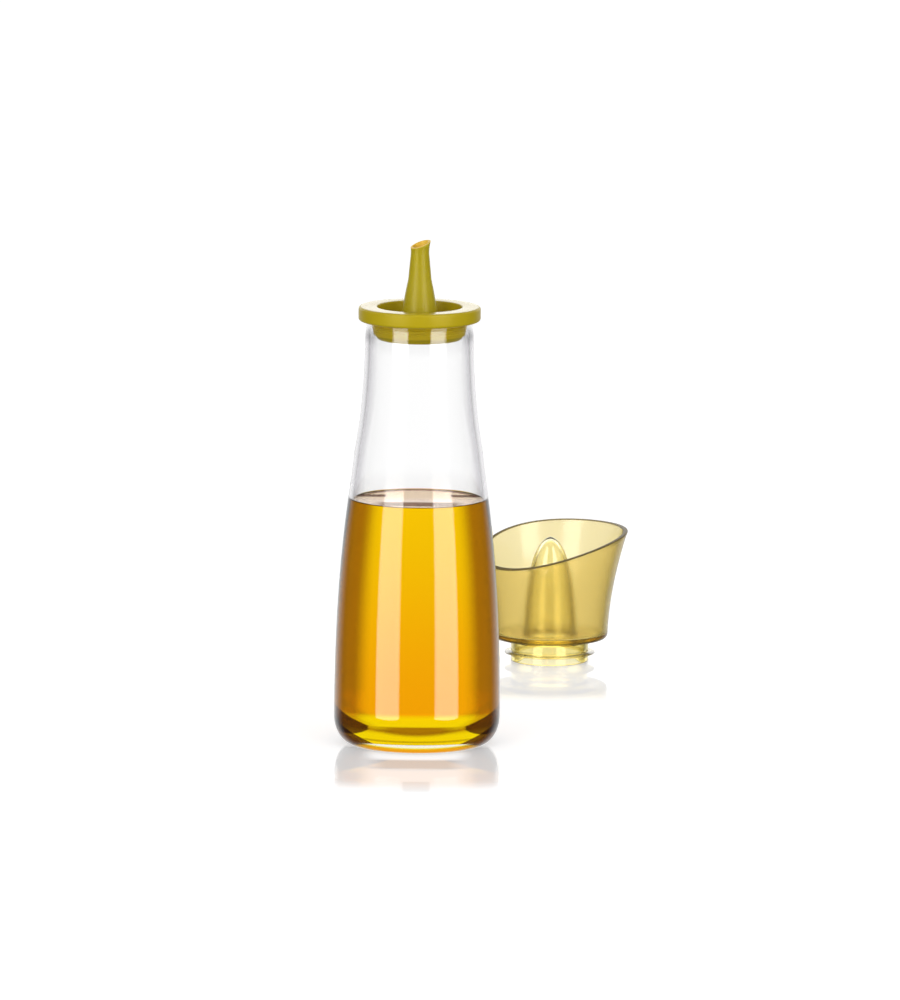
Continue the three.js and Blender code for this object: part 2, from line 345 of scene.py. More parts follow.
floor_finish, sheet = new_material("polished_white_sheet")
sideways = beside_axis(sheet)
forward = before_axis(sheet)
bottle_away = away_from(sheet, 0.0, 0.0)
cap_away = away_from(sheet, cap_right * millimetre, cap_back * millimetre)
drop = sheet.maths("MAXIMUM", 1 - sheet.maths("MAXIMUM", forward, 0.0) / heel_reach, 0.0)
narrowed = heel_narrowing * (1 - (1 - drop * drop) ** 0.5)
bottle_share = fade(sheet, bottle_away, *bottle_mirror_end, bottle_mirror)
bottle_share = bottle_share * fade(sheet, sideways + narrowed, *bottle_mirror_side)
bottle_share = bottle_share * ramp(sheet, forward, *bottle_mirror_start)
# Painted glow: less mirror down the middle and by the foot.
bottle_share = bottle_share * (1 - middle_glow * fade(sheet, sideways, *middle_glow_side))
near_foot = fade(sheet, bottle_away, *foot_glow_end) * fade(sheet, sideways, *foot_glow_side)
bottle_share = bottle_share * (1 - foot_glow * near_foot)
mirror = sheet.maths("MAXIMUM", bottle_share, fade(sheet, cap_away, *cap_mirror_end, cap_mirror))
# Painted shade: the two faint patches lower the floor's lift.
shade = foot_shade * band(sheet, forward, foot_shade_start, foot_shade_end)
shade = shade * fade(sheet, sideways, *foot_shade_side)
patch = patch_shade * band(sheet, forward, patch_shade_start, patch_shade_end)
shade = shade + patch * fade(sheet, sideways, *patch_shade_side)
floor_seen = sheet.maths(
    "MAXIMUM", light_path(sheet, "Is Camera Ray"), light_path(sheet, "Is Transmission Ray"),
)
matt = sheet.add("ShaderNodeAddShader", None, {
    0: sheet.add("ShaderNodeBsdfDiffuse", None, {"Color": floor_colour}),
    1: glowing(sheet, floor_seen * (floor_lift - lift_under_mirror * mirror - shade)),
})
polish = sheet.add("ShaderNodeBsdfGlossy", None, {"Color": white, "Roughness": mirror_roughness})
finished(sheet, mixed(
    sheet, light_path(sheet, "Is Glossy Ray"), mixed(sheet, mirror, matt, polish), see_through(sheet),
))
floor.data.materials.append(floor_finish)

# Glass bottle. Blown clear glass, 162.5 mm tall, that swells from the neck to a round heel, with
# a thick floor, a slightly hollow foot and a fire-polished rim. It is spun from one outline.
bottle_height = 162.5
glass_wall = 1.85
floor_thickness = 4.5
body_radius = 31.6
heel_width = 7.85
heel_height = 10.8
inner_heel_width = 6.5
inner_heel_height = 8.5
shoulder_radius = 24.5
shoulder_height = 111.5
neck_radius = 20.55
rim_round = 0.45
body_pull_shares = {"lower": 0.61, "upper": 0.13}
neck_pull_shares = {"lower": 0.08, "upper": 0.66}
shoulder_lean_share = 0.09
foot_hollow = 0.7
foot_pull_radii = (12, 20)
foot_ease = 0.4
oil_height = 93.9
meniscus_rise = 0.6
bottle_sides = 176
side_steps = 40
heel_steps = 12
edge_steps = 4
smooth_below = 35


def curve(start, pull_a, pull_b, end, steps):
    """Points after the start of a cubic curve of radii and heights."""
    points = []
    for step in range(1, steps + 1):
        t = step / steps
        weights = ((1 - t) ** 3, 3 * (1 - t) ** 2 * t, 3 * (1 - t) * t ** 2, t ** 3)
        corners = (start, pull_a, pull_b, end)
        points.append(tuple(sum(w * c[i] for w, c in zip(weights, corners)) for i in (0, 1)))
    return points


def rounded(start, corner, end, steps):
    """Points after the start of a quarter of an ellipse that leaves towards its corner."""
    points = []
    for step in range(1, steps + 1):
        away = math.sin(math.pi / 2 * step / steps)
        along = 1 - math.cos(math.pi / 2 * step / steps)
        points.append(tuple(
            s + (c - s) * away + (e - c) * along for s, c, e in zip(start, corner, end)
        ))
    return points


def radius_at(side, height):
    """Radius of a rising side at a height."""
    for low, high in zip(side, side[1:]):
        if high[1] >= height:
            return low[0] + (high[0] - low[0]) * (height - low[1]) / (high[1] - low[1])
    return side[-1][0]


def bottle_side(inset):
    """Side of the bottle from the top of the heel to the rim, at a depth inside the outer face."""
    body_rise = shoulder_height - heel_height
    neck_rise = bottle_height - shoulder_height
    below = body_rise * body_pull_shares["upper"]
    above = neck_rise * neck_pull_shares["lower"]
    foot = (body_radius - inset, heel_height)
    shoulder = (shoulder_radius - inset, shoulder_height)
    return [foot] + curve(
        foot,
        (body_radius - inset, heel_height + body_rise * body_pull_shares["lower"]),
        (shoulder[0] + below * shoulder_lean_share, shoulder_height - below),
        shoulder,
        side_steps,
    ) + curve(
        shoulder,
        (shoulder[0] - above * shoulder_lean_share, shoulder_height + above),
        (neck_radius - inset, bottle_height - neck_rise * neck_pull_shares["upper"]),
        (neck_radius - inset, bottle_height),
        side_steps,
    )


def drawn(name, places):
    """New mesh, one vertex drawn along a row of places in metres, left in edit mode."""
    bpy.ops.object.select_all(action="DESELECT")
    bpy.ops.mesh.primitive_plane_add(size=millimetre, location=(0, 0, 0))
    piece = bpy.context.object
    piece.name = name
    bpy.ops.object.mode_set(mode="EDIT")
    bpy.ops.mesh.select_mode(type="VERT")
    bpy.ops.mesh.merge(type="CENTER")
    bpy.ops.transform.translate(value=places[0])
    for here, there in zip(places, places[1:]):
        step = [b - a for a, b in zip(here, there)]
        bpy.ops.mesh.extrude_vertices_move(TRANSFORM_OT_translate={"value": step})
    return piece


def turned(name, outline, sides, right=0, back=0, sharp=smooth_below):
    """Outline of radii and heights in millimetres, spun round an upright axis into a solid."""
    piece = drawn(name, [
        ((right + radius) * millimetre, back * millimetre, height * millimetre)
        for radius, height in outline
    ])
    bpy.ops.mesh.select_all(action="SELECT")
    axis_place = (right * millimetre, back * millimetre, 0)
    bpy.ops.mesh.spin(steps=sides, angle=2 * math.pi, center=axis_place, axis=(0, 0, 1))
    bpy.ops.mesh.select_all(action="SELECT")
    bpy.ops.mesh.remove_doubles(threshold=millimetre / 500)
    bpy.ops.mesh.normals_make_consistent(inside=False)
    bpy.ops.object.mode_set(mode="OBJECT")
    bpy.ops.object.shade_smooth_by_angle(angle=math.radians(sharp))
    return piece


def inward(face):
    """True for a face that looks at the bottle's axis or up from its floor."""
    radial = face.normal.x * face.center.x + face.normal.y * face.center.y
    return radial < 0 or face.normal.z > 0.5


inner_side = bottle_side(glass_wall)
inner_heel_top = floor_thickness + inner_heel_height
inner_foot = radius_at(inner_side, inner_heel_top)
bore = neck_radius - glass_wall
wet_top = oil_height + meniscus_rise
outline = [(0, foot_hollow)]
outline += curve(
    outline[0], (foot_pull_radii[0], foot_hollow), (foot_pull_radii[1], foot_hollow * foot_ease),
    (body_radius - heel_width, 0), heel_steps,
)
outline += rounded(outline[-1], (body_radius, 0), (body_radius, heel_height), heel_steps)
outline += bottle_side(0)[1:-1]
outline.append((neck_radius, bottle_height - rim_round))
outline += rounded(
    outline[-1], (neck_radius, bottle_height), (neck_radius - rim_round, bottle_height), edge_steps,
)
outline.append((bore + rim_round, bottle_height))
outline += rounded(outline[-1], (bore, bottle_height), (bore, bottle_height - rim_round), edge_steps)
inner_points = [p for p in inner_side[1:-1] if p[1] > inner_heel_top]
inner_points.append((radius_at(inner_side, wet_top), wet_top))
outline += sorted(inner_points, key=lambda point: -point[1])
outline.append((inner_foot, inner_heel_top))
outline += rounded(
    outline[-1], (inner_foot, floor_thickness), (inner_foot - inner_heel_width, floor_thickness),
    heel_steps,
)
outline.append((0, floor_thickness))
bottle = turned("glass_bottle_blown", outline, bottle_sides)

glass_index = 1.5
oil_index = 1.47
calm_shine = 0.03
light_rim_share = 0.92
# Painted shade: grey at the glass's edges.
glass_edge_painted_shade = (0.82, 0.80, 0.84, 1.0)
# Painted shade: a dark line in the foot.
foot_line_painted_shade = (0.45, 0.38, 0.25, 1.0)
# Painted light: golden in the foot.
foot_light_tint = (1.0, 0.92, 0.05, 1.0)
# Ends of smooth steps over the glass: of facing away for its edges, and in metres for the rest.
glass_edge_turn = (0.40, 0.72)
neck_edge_turn = (0.35, 0.5)
foot_middle = (0.019, 0.024)
foot_line_start = (0.0047, 0.0050)
foot_line_end = (0.0055, 0.0059)
foot_light_end = (0.0022, 0.0040)
calm_start = (0.096, 0.104)
plug_start = (0.150, 0.1545)
light_rim_start = (0.1530, 0.1615)


def clear_surface(start, index, tint_with_painted_shading=white, roughness=0.0, shine=1.0):
    """Clear shader: its index of refraction, the tint of its surface with any painted shading, its
    haze and its shine.
    """
    return start.add("ShaderNodeBsdfPrincipled", None, {
        "Base Color": tint_with_painted_shading,
        "Roughness": roughness,
        "IOR": index,
        "Specular Tint": (shine, shine, shine, 1.0),
        "Transmission Weight": 1.0,
    })


def blended(start, share, first, second):
    """Mix of two colours."""
    return start.add("ShaderNodeMix", {"data_type": "RGBA"}, {0: share, 6: first, 7: second}, 2)


def facing_away(start):
    """How far a surface turns away from the view, from zero to one at its outline."""
    return start.add("ShaderNodeLayerWeight", None, {"Blend": 0.5}, "Facing")


def leaving_solid(start):
    """One where light meets the inside of a surface."""
    return start.add("ShaderNodeNewGeometry", output="Backfacing")


# The dry glass has painted grey shade at its edges, a painted dark line and painted golden light in
# its foot, and a rim as light as the room, where it is partly see-through. Above the oil it shines
# less, apart from the middle of the plug.
blown_glass, start = new_material("blown_glass")
facing = facing_away(start)
height = coordinate(start, "Z")
# Painted grey shade at the edges.
tint_with_painted_shading = blended(start, ramp(start, facing, *glass_edge_turn), white, glass_edge_painted_shade)
middle = (1 - leaving_solid(start)) * fade(start, beside_axis(start), *foot_middle)
# Painted dark line in the foot.
foot_line_shade = middle * band(start, height, foot_line_start, foot_line_end)
tint_with_painted_shading = blended(start, foot_line_shade, tint_with_painted_shading, foot_line_painted_shade)
# Painted golden light in the foot.
tint_with_painted_shading = blended(start, middle * fade(start, height, *foot_light_end), tint_with_painted_shading, foot_light_tint)
over_plug = ramp(start, height, *plug_start) * fade(start, facing, *neck_edge_turn)
calm = ramp(start, height, *calm_start) * (1 - over_plug)
light_rim = ramp(start, height, *light_rim_start, 0.0, light_rim_share)
light_rim = light_rim * ramp(start, facing, *neck_edge_turn)
glass = mixed(
    start, calm,
    clear_surface(start, glass_index, tint_with_painted_shading),
    clear_surface(start, glass_index, tint_with_painted_shading, shine=calm_shine),
)
finished(start, mixed(start, light_rim, glass, see_through(start)))
bottle.data.materials.append(blown_glass)

wet_glass, start = new_material("glass_under_oil")
finished(start, clear_surface(start, glass_index / oil_index))
bottle.data.materials.append(wet_glass)
for face in bottle.data.polygons:
    if inward(face) and face.center.z < wet_top * millimetre:
        face.material_index = 1
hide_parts("glass_bottle")
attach(bottle, "bottle")

# Oil. Golden oil that fills the bottle a little over half way, against the glass all round, with
# a meniscus at its edge. Its side lets light straight through to the glass it wets.
meniscus_width = 1.6
film = 0.02

oil_side = bottle_side(glass_wall + film)
oil_floor = floor_thickness + film
oil_heel_top = oil_floor + inner_heel_height
oil_foot = radius_at(oil_side, oil_heel_top)
oil_edge = radius_at(oil_side, wet_top)
outline = [(0, oil_floor), (oil_foot - inner_heel_width, oil_floor)]
outline += rounded(outline[-1], (oil_foot, oil_floor), (oil_foot, oil_heel_top), heel_steps)
outline += [p for p in oil_side if oil_heel_top < p[1] < oil_height]
outline.append((oil_edge, wet_top))
outline += rounded(
    outline[-1], (oil_edge, oil_height), (oil_edge - meniscus_width, oil_height), heel_steps,
)
outline.append((0, oil_height))
oil = turned("oil_poured_in", outline, bottle_sides)

oil_depth = (0.999, 0.977, 0.0, 1.0)
oil_density = 300.0
oil_low_tint = (0.96, 0.336, 1.0, 1.0)
oil_high_tint = (1.0, 0.70, 1.0, 1.0)
# Painted shade: brown at the oil's edges.
oil_edge_painted_shade = (0.42, 0.22, 0.01, 1.0)
# Painted shade: near black in the heel corners.
heel_corner_painted_shade = (0.034, 0.0115, 0.02, 1.0)
# Painted shade: a dark ring on the oil's floor.
floor_ring_painted_shade = (0.20, 0.08, 0.02, 1.0)
# Painted reflection colours of the open top: its sheen, lighter in front, and dark in a band and two
# streaks.
oil_sheen = (0.96, 0.80, 0.60, 1.0)
front_sheen = (1.0, 0.88, 0.76, 1.0)
dark_sheen = (0.30, 0.21, 0.16, 1.0)
corner_slope = 32.0
corner_shift = 0.005
# Ends of smooth steps over the oil: of facing away for its edges and corners, and in metres for
# the rest.
oil_edge_turn = (0.085, 0.175)
corner_turn = (-0.040, -0.025)
corner_radius = (0.0212, 0.0225)
floor_ring_radius = (0.007, 0.016)
floor_ring_end = (0.0047, 0.0053)
oil_side_start = (0.0075, 0.0095)
oil_side_rise = (0.0065, 0.0905)
sheen_middle = (-0.006, 0.006)
band_start = (0.006, 0.010)
band_end = (0.017, 0.020)
band_side = (0.011, 0.018)
streak_start = (-0.0125, -0.0105)
streak_end = (-0.0065, -0.0045)
streak_side = (0.0115, 0.0135)


def outward_of(start):
    """Level direction from the bottle's axis to a place, as long as the place is far."""
    place = start.add("ShaderNodeTexCoord", output="Object")
    return start.add("ShaderNodeVectorMath", {"operation": "MULTIPLY"}, {
        0: place, 1: (1.0, 1.0, 0.0),
    })


def from_axis(start):
    """Distance from the bottle's axis."""
    return start.add("ShaderNodeVectorMath", {"operation": "LENGTH"}, {0: outward_of(start)}, "Value")


def side_facing(start):
    """How far a place on a round piece turns to the side of the view, whatever its slope."""
    outward = start.add("ShaderNodeVectorMath", {"operation": "NORMALIZE"}, {0: outward_of(start)})
    return start.add("ShaderNodeLayerWeight", None, {"Blend": 0.5, "Normal": outward}, "Facing")


def painted_corner_shade(start):
    """Share of painted shade in the corners of the heel, where it meets the side of the view."""
    leaving = leaving_solid(start)
    turned_away = side_facing(start) - corner_slope * coordinate(start, "Z") + corner_shift * leaving
    past_floor = ramp(start, from_axis(start), *corner_radius)
    return ramp(start, turned_away, *corner_turn) * start.maths("MAXIMUM", leaving, past_floor)


open_top = oil.data.attributes.new("open_top", "FLOAT", "FACE")
for face in oil.data.polygons:
    under_air = inward(face) and face.center.z > (oil_height - 1) * millimetre
    open_top.data[face.index].value = 1.0 if under_air else 0.0

# Against the glass the oil is tinted where light leaves it: more orange low down, with painted brown
# shade at its edges, painted near-black shade in its heel corners and a painted dark ring on the
# floor. Its open top mirrors the room through a painted sheen colour, lighter in front, with a
# painted dark reflection band in front of the middle and a painted dark streak at each side behind
# it.
golden_oil, start = new_material("golden_oil")
height = coordinate(start, "Z")
leaving = leaving_solid(start)
side_colour_and_painted_shade = blended(start, ramp(start, height, *oil_side_rise), oil_low_tint, oil_high_tint)
side_colour_and_painted_shade = blended(start, leaving, white, side_colour_and_painted_shade)
# Painted shade at the edges.
at_edge = ramp(start, facing_away(start), *oil_edge_turn)
side_colour_and_painted_shade = blended(start, at_edge, side_colour_and_painted_shade, oil_edge_painted_shade)
# Painted shade in a ring on the floor.
floor_ring = leaving * ramp(start, from_axis(start), *floor_ring_radius)
low_painted_shade = blended(start, floor_ring, white, floor_ring_painted_shade)
low_painted_shade = blended(start, ramp(start, height, *floor_ring_end), low_painted_shade, white)
tint_with_painted_shading = blended(start, ramp(start, height, *oil_side_start), low_painted_shade, side_colour_and_painted_shade)
# Painted shade in the heel corners.
tint_with_painted_shading = blended(start, painted_corner_shade(start), tint_with_painted_shading, heel_corner_painted_shade)
forward = before_axis(start)
beside = beside_axis(start)
# Painted dark reflection: a band in front of the middle and a streak at each side behind it.
dark_band = band(start, forward, band_start, band_end) * fade(start, beside, *band_side)
dark_streak = band(start, forward, streak_start, streak_end) * ramp(start, beside, *streak_side)
sheen = blended(start, ramp(start, forward, *sheen_middle), oil_sheen, front_sheen)
sheen = blended(start, start.maths("MAXIMUM", dark_band, dark_streak), sheen, dark_sheen)
top = mixed(
    start, start.add("ShaderNodeFresnel", None, {"IOR": oil_index}),
    start.add("ShaderNodeBsdfRefraction", None, {"Color": white, "Roughness": 0.0, "IOR": oil_index}),
    start.add("ShaderNodeBsdfGlossy", None, {"Color": sheen, "Roughness": 0.0}),
)
at_top = start.add("ShaderNodeAttribute", {"attribute_name": "open_top"}, None, "Fac")
start.add("ShaderNodeOutputMaterial", None, {
    "Surface": mixed(start, at_top, clear_surface(start, 1.0, tint_with_painted_shading), top),
    "Volume": start.add("ShaderNodeVolumeAbsorption", None, {
        "Color": oil_depth, "Density": oil_density,
    }),
})
oil.data.materials.append(golden_oil)
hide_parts("oil_fill")
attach(oil, "bottle")

# Pourer body. Moulded yellow-green plastic: a flat ring that rests on the glass rim, with a
# shallow bowl that hangs in the neck and a small drain hole behind the spout.
ring_radius = 23.2
ring_thickness = 5.4
ring_round = 1
bowl_wall = 1.1
bowl_draft = 0.6
bowl_floor = 2.9
bowl_round = 2
recess_depth = 9.6
recess_round = 0.5
nesting_gap = 0.3
seal_clearance = 0.2
sleeve_wall = 0.5
rib_height = 0.5
spigot_radius = 7.2
spout_flange_radius = 9.6
mouth_turn = math.radians(28)
drain_share = 0.28
drain_sides = 32
ring_sides = 144
pourer_light = (0.56, 0.43, 0.005, 1.0)
pourer_dark = (0.50, 0.375, 0.004, 1.0)
plastic_index = 1.5
cloud_scale = 60.0
cloud_roughness = 0.08
grain_scale = 1400.0
grain_depth = 0.02

rib_radius = bore - seal_clearance
sleeve_bore = rib_radius - rib_height - sleeve_wall
bowl_radius = sleeve_bore - nesting_gap
recess_radius = bowl_radius - bowl_wall
recess_foot_radius = recess_radius - bowl_draft
ring_top = bottle_height + ring_thickness
recess_floor = ring_top - recess_depth
bowl_bottom = recess_floor - bowl_floor
bowl_foot_radius = bowl_radius - bowl_draft
spout_hole = spigot_radius + nesting_gap
outline = [(spout_hole, bowl_bottom), (bowl_foot_radius - bowl_round, bowl_bottom)]
outline += rounded(
    outline[-1], (bowl_foot_radius, bowl_bottom), (bowl_foot_radius, bowl_bottom + bowl_round),
    2 * edge_steps,
)
outline += [(bowl_radius, bottle_height), (ring_radius - ring_round, bottle_height)]
outline += rounded(
    outline[-1], (ring_radius, bottle_height), (ring_radius, bottle_height + ring_round),
    2 * edge_steps,
)
outline.append((ring_radius, ring_top - ring_round))
outline += rounded(
    outline[-1], (ring_radius, ring_top), (ring_radius - ring_round, ring_top), 2 * edge_steps,
)
outline.append((recess_radius + recess_round, ring_top))
outline += rounded(
    outline[-1], (recess_radius, ring_top), (recess_radius, ring_top - recess_round), edge_steps,
)
outline.append((recess_foot_radius, recess_floor + recess_round))
outline += rounded(
    outline[-1], (recess_foot_radius, recess_floor),
    (recess_foot_radius - recess_round, recess_floor), edge_steps,
)
outline += [(spout_hole, recess_floor), outline[0]]
pourer = turned("pourer_ring_and_bowl", outline, ring_sides)


def cut_away(piece, cutter):
    """Take a cutter's space out of a piece and delete the cutter."""
    bpy.ops.object.select_all(action="DESELECT")
    bpy.context.view_layer.objects.active = piece
    piece.select_set(True)
    cut = piece.modifiers.new("cut", "BOOLEAN")
    cut.operation = "DIFFERENCE"
    cut.solver = "EXACT"
    cut.object = cutter
    bpy.ops.object.modifier_apply(modifier=cut.name)
    bpy.data.objects.remove(cutter)


ledge = recess_foot_radius - spout_flange_radius
drain_middle = spout_flange_radius + ledge / 2
bpy.ops.object.select_all(action="DESELECT")
bpy.ops.mesh.primitive_cylinder_add(
    vertices=drain_sides,
    radius=ledge * drain_share * millimetre,
    depth=3 * bowl_floor * millimetre,
    location=(
        -drain_middle * math.cos(mouth_turn) * millimetre,
        -drain_middle * math.sin(mouth_turn) * millimetre,
        (recess_floor - bowl_floor / 2) * millimetre,
    ),
)
cut_away(pourer, bpy.context.object)
bpy.ops.object.shade_smooth_by_angle(angle=math.radians(smooth_below))


def moulded(name, light, dark, roughness, grain, translucence=0.0, gloss=0.15):
    """Satin moulded plastic: two close colours in soft clouds, and a fine grain."""
    made, start = new_material(name)
    place = start.add("ShaderNodeTexCoord", output="Object")
    clouds = start.add("ShaderNodeTexNoise", None, {
        "Vector": place, "Scale": cloud_scale, "Detail": 3.0,
    })
    fine = start.add("ShaderNodeTexNoise", None, {
        "Vector": place, "Scale": grain_scale, "Detail": 2.0,
    })
    bump = start.add("ShaderNodeBump", None, {
        "Height": fine, "Strength": grain, "Distance": grain_depth * millimetre,
    })
    finished(start, start.add("ShaderNodeBsdfPrincipled", None, {
        "Base Color": blended(start, clouds, dark, light),
        "Roughness": roughness + cloud_roughness * (clouds - 0.5),
        "IOR": plastic_index,
        "Specular IOR Level": gloss,
        "Normal": bump,
        "Subsurface Weight": translucence,
        "Subsurface Radius": (1.0, 0.8, 0.1),
        "Subsurface Scale": 2 * millimetre,
    }))
    return made


pourer.data.materials.clear()
pourer.data.materials.append(moulded(
    "pourer_satin_plastic", pourer_light, pourer_dark, roughness=0.34, grain=0.25,
))
pourer.data.materials.append(moulded(
    "ring_top_sheen", pourer_light, pourer_dark, roughness=0.24, grain=0.1, gloss=0.9,
))
for face in pourer.data.polygons:
    if face.normal.z > 0.98 and face.center.z > (ring_top - 0.1) * millimetre:
        face.material_index = 1
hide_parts("pourer_body")
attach(pourer, "pourer")

# Plug seal. Soft silicone sleeve over the bowl, with four fine ribs that widen upwards and grip
# the inside of the neck.
rib_pitch = 1.05
rib_count = 4
rib_steps = 6
# Painted light: the seal's colours are lighter than the ring's, in place of the lamp light that the
# glass of the neck holds back.
seal_light_with_painted_light = (0.77, 0.565, 0.010, 1.0)
seal_dark_with_painted_light = (0.71, 0.52, 0.008, 1.0)

seal_top = bottle_height - nesting_gap
seal_foot = bowl_bottom + bowl_round
seal_lean = bowl_draft / (bottle_height - seal_foot)


def sleeve(height, out):
    """Point of the sleeve at a height, as far out from its bore as given."""
    return (sleeve_bore + out - (bottle_height - height) * seal_lean, height)


outline = [sleeve(seal_foot, 0), sleeve(seal_foot, sleeve_wall)]
for rib in range(rib_count):
    foot = seal_top - rib_pitch * (rib_count - rib)
    reach = rib_height * (rib + 1) / rib_count
    for step in range(rib_steps):
        share = step / rib_steps
        swell = reach * math.sin(math.pi * share) ** 2
        outline.append(sleeve(foot + rib_pitch * share, sleeve_wall + swell))
outline += [sleeve(seal_top, sleeve_wall), sleeve(seal_top, 0), outline[0]]
seal = turned("plug_seal_ribbed", outline, ring_sides, sharp=60)
seal.data.materials.append(moulded(
    "plug_silicone", seal_light_with_painted_light, seal_dark_with_painted_light, roughness=0.42, grain=0.15,
))
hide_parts("plug_seal")
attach(seal, "pourer")

# Spout. Glossier insert of the same plastic, pushed through the bowl's floor and held by its
# flange. It narrows to a waist and opens again to a thin slanted lip.
spout_height = 34.95
spout_tip_radius = 3.5
lip_flare = 0.8
lip_height = 5
spout_waist_radius = 4.42
spout_waist_height = 20
spout_root_radius = 7.6
spout_lower_shares = {"fall": 0.22, "height": 0.27}
spout_upper_shares = {"fall": 0.51, "height": 0.64}
spout_flange_thickness = 1.2
spout_wall = 0.85
spout_bore_radius = 6
mouth_slope = math.radians(20.6)
lip_round = 0.16
blank_allowance = 1
root_fillet = 0.5
root_lean = 0.1
spout_sides = 112
spout_steps = 14
lip_steps = 5
slant_passes = 8
spout_light = (0.54, 0.44, 0.016, 1.0)
spout_dark = (0.48, 0.385, 0.012, 1.0)
# Painted glow: the inside of the mouth is a brighter orange, in place of light through the thin lip.
spout_mouth_light_painted_glow = (1.0, 0.68, 0.09, 1.0)
spout_mouth_dark_painted_glow = (0.97, 0.62, 0.07, 1.0)

tip = recess_floor + spout_height
flange_top = recess_floor + spout_flange_thickness
waist = recess_floor + spout_waist_height
rise = waist - flange_top
fall = spout_root_radius - spout_waist_radius
neck = tip - lip_height
blank_top = tip + blank_allowance
lip_radius = spout_tip_radius + lip_flare
outline = [
    (spout_bore_radius, bowl_bottom),
    (spigot_radius, bowl_bottom),
    (spigot_radius, recess_floor),
    (spout_flange_radius, recess_floor),
    (spout_flange_radius, flange_top),
    (spout_root_radius + root_fillet, flange_top),
]
outline += rounded(
    outline[-1], (spout_root_radius, flange_top),
    (spout_root_radius - root_lean, flange_top + root_fillet), edge_steps,
)
outline += curve(
    outline[-1],
    (spout_root_radius - fall * spout_lower_shares["fall"],
     flange_top + rise * spout_lower_shares["height"]),
    (spout_root_radius - fall * spout_upper_shares["fall"],
     flange_top + rise * spout_upper_shares["height"]),
    (spout_waist_radius, waist),
    spout_steps,
)
outline.append((spout_tip_radius, neck))
outline += curve(
    outline[-1],
    (spout_tip_radius, neck + lip_height / 2),
    (spout_tip_radius + lip_flare / 3, neck + lip_height * 2 / 3),
    (lip_radius, blank_top),
    lip_steps,
)
spout_side = outline[-(spout_steps + 1 + lip_steps):]
outline[-1] = (lip_radius, blank_top - lip_round)
outline += rounded(
    outline[-1], (lip_radius, blank_top), (lip_radius - lip_round, blank_top), edge_steps,
)
lip_bore = lip_radius - spout_wall
outline.append((lip_bore + lip_round, blank_top))
outline += rounded(outline[-1], (lip_bore, blank_top), (lip_bore, blank_top - lip_round), edge_steps)
outline += [
    (spout_tip_radius - spout_wall, neck),
    (spout_waist_radius - spout_wall, waist),
    outline[0],
]
spout = turned("pour_spout_slanted", outline, spout_sides, sharp=40)


def slant(piece, right, back, foot, top, side, rim_height):
    """Bring a level mouth down to a slanted one, with every ring above the foot in step.

    The side is the outer outline. The rim's height is given for a place beside the axis.
    """
    for vertex in piece.data.vertices:
        across = vertex.co.x / millimetre - right
        along = vertex.co.y / millimetre - back
        height = vertex.co.z / millimetre
        share = (height - foot) / (top - foot)
        if share <= 0:
            continue
        distance = math.hypot(across, along)
        inset = radius_at(side, height) - distance
        for _ in range(slant_passes):
            reach = (radius_at(side, height) - inset) / distance
            height = foot + share * (rim_height(across * reach, along * reach) - foot)
        vertex.co.x = (right + across * reach) * millimetre
        vertex.co.y = (back + along * reach) * millimetre
        vertex.co.z = height * millimetre


def spout_rim(across, along):
    """Height of the spout's mouth at a place beside its axis."""
    toward = across * math.cos(mouth_turn) + along * math.sin(mouth_turn)
    return tip + math.tan(mouth_slope) * (toward - lip_radius)


slant(spout, 0, 0, neck, blank_top, spout_side, spout_rim)
spout.data.materials.append(moulded(
    "spout_satin_plastic", spout_light, spout_dark, roughness=0.28, grain=0.12, translucence=0.3,
))
# Inside of the mouth, in painted glow colours.
spout.data.materials.append(moulded(
    "spout_mouth_with_painted_glow", spout_mouth_light_painted_glow, spout_mouth_dark_painted_glow, roughness=0.28, grain=0.12,
))
for face in spout.data.polygons:
    if inward(face) and face.center.z > (neck + 1) * millimetre:
        face.material_index = 1
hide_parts("pour_spout")
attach(spout, "pourer")

# Cap cup. Tinted plastic with a slight haze, flared from a round foot to a wide mouth whose edge
# is cut on a slant and slightly bowed. It stands beside the bottle.
collar_foot_gap = 0.7
cone_radius = 10.7
cup_step = 0.5
cup_wall = 1.9
cup_floor = 2
cup_round = 2.2
cup_inner_round = 1.5
cup_blank_radius = 31.2
cup_blank_height = 45.6
cup_lower_shares = {"flare": 0.06, "height": 0.3}
cup_upper_shares = {"flare": 0.39, "height": 0.62}
mouth_height = 38.9
mouth_rise = 7.95
mouth_bow = 3.7
rim_turn = math.radians(42.5)
rim_ease = 0.3
cup_sides = 176
cup_steps = 24

cup_foot = recess_depth - collar_foot_gap
cup_foot_radius = ring_radius - cup_step


def cup_side(inset):
    """Side of the cup from above its foot round to the top of the blank."""
    foot = cup_foot_radius - inset
    flare = cup_blank_radius - cup_foot_radius
    start = (foot, cup_foot + cup_round)
    rise = cup_blank_height - cup_round
    return [start] + curve(
        start,
        (foot + flare * cup_lower_shares["flare"], start[1] + rise * cup_lower_shares["height"]),
        (foot + flare * cup_upper_shares["flare"], start[1] + rise * cup_upper_shares["height"]),
        (cup_blank_radius - inset, start[1] + rise),
        cup_steps,
    )


